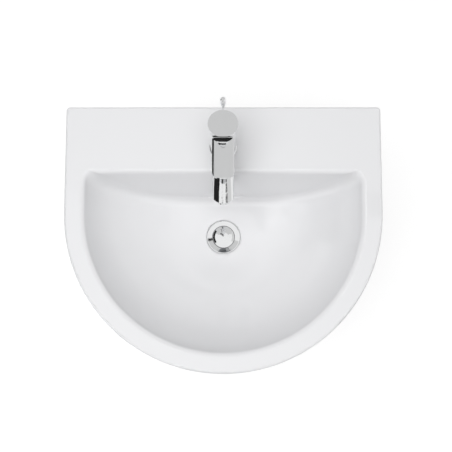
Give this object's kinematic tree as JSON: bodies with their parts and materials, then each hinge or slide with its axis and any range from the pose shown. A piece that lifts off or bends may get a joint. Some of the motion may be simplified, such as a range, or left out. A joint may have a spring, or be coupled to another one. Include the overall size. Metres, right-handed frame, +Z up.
{
  "type": "semi-pedestal basin",
  "caption": "Wall-hung D-shaped washbasin with a half pedestal, single-lever mixer tap, pop-up waste and bottle trap.",
  "frame": {"origin": "wall plane, midway between the two studs that carry the basin, 75 mm below the rim's top", "axes": "+Z up, +Y into the wall, -Y towards the user, +X to the right seen from the front"},
  "size_m": [0.55, 0.5149, 0.6096],
  "materials": {
    "china": "glossy white glazed vitreous china",
    "chrome": "polished chrome plate",
    "brass": "plain machined brass",
    "steel": "bright zinc-plated steel",
    "copper": "drawn copper tube",
    "rubber": "black rubber",
    "white_plastic": "white moulded plastic",
    "grey_plastic": "grey moulded plastic",
    "ceramic_disc": "lapped technical ceramic",
    "foam": "white closed-cell foam strip"
  },
  "bodies": {
    "fixed": {"aerator_housing": "chrome", "aerator_insert": "grey_plastic", "aerator_washer": "rubber", "basin": "china", "basin_fixing_bushes": "white_plastic", "basin_fixing_nuts": "steel", "basin_fixing_washers": "steel", "basin_wall_studs": "steel", "cartridge_cover": "chrome", "cartridge_housing": "grey_plastic", "cartridge_nut": "brass", "cartridge_seals": "rubber", "fixed_ceramic_disc": "ceramic_disc", "flange_seal": "rubber", "pedestal_fixing_nuts": "steel", "pedestal_fixing_washers": "steel", "pedestal_seal": "foam", "pedestal_wall_studs": "steel", "pivot_nut": "chrome", "pivot_seat": "grey_plastic", "rod_guide_bush": "grey_plastic", "semi_pedestal": "china", "tail_seals": "rubber", "tap_base_seal": "rubber", "tap_body": "chrome", "tap_fixing_nut": "brass", "tap_fixing_plate": "steel", "tap_fixing_rubber": "rubber", "tap_fixing_stud": "brass", "tap_tails": "copper", "trap_body": "white_plastic", "trap_cup": "white_plastic", "trap_cup_seal": "rubber", "trap_inlet_nut": "white_plastic", "trap_inlet_washer": "rubber", "trap_outlet_nut": "white_plastic", "trap_outlet_washer": "rubber", "wall_escutcheon": "chrome", "waste_body": "chrome", "waste_bottom_seal": "rubber", "waste_flange": "chrome", "waste_pipe": "chrome"},
    "lever_carrier": {"cartridge_carrier": "grey_plastic", "stem_pin": "steel"},
    "lever": {"lever": "chrome", "lever_grub_screw": "steel", "index_button": "grey_plastic", "cartridge_stem": "steel"},
    "ceramic_disc": {"moving_ceramic_disc": "ceramic_disc"},
    "lift_rod": {"lift_rod": "chrome", "lift_knob": "chrome", "rod_clamp": "chrome", "clamp_screws": "chrome"},
    "pivot_arm": {"pivot_arm": "chrome"},
    "plug": {"plug": "chrome", "plug_seal": "rubber", "plug_height_screw": "steel", "plug_lock_nut": "brass"}
  },
  "joints": [
    {"name": "lever_turn", "type": "hinge", "parent": "fixed", "child": "lever_carrier", "pos_m": [0, -0.072, 0.179], "axis": [0, 0, 1], "range_deg": [-45, 45]},
    {"name": "lever_lift", "type": "hinge", "parent": "lever_carrier", "child": "lever", "pos_m": [0, -0.072, 0.179], "axis": [-1, 0, 0], "range_deg": [0, 20]},
    {"name": "disc_slide", "type": "slide", "parent": "lever_carrier", "child": "ceramic_disc", "axis": [0, -1, 0], "range_m": [0, 0.0066]},
    {"name": "rod_lift", "type": "slide", "parent": "fixed", "child": "lift_rod", "axis": [0, 0.2062, 0.9785], "range_m": [-0.022, 0]},
    {"name": "arm_swing", "type": "hinge", "parent": "fixed", "child": "pivot_arm", "pos_m": [0, -0.187, -0.093], "axis": [1, 0, 0], "range_deg": [-13.2, 0]},
    {"name": "plug_rise", "type": "slide", "parent": "fixed", "child": "plug", "axis": [0, 0, 1], "range_m": [0, 0.0072]}
  ],
  "couplings": [
    {"joint": "disc_slide", "follows": "lever_lift", "m_per_rad": 0.018616},
    {"joint": "arm_swing", "follows": "rod_lift", "rad_per_m": 10.393},
    {"joint": "plug_rise", "follows": "rod_lift", "ratio": -0.3214}
  ]
}
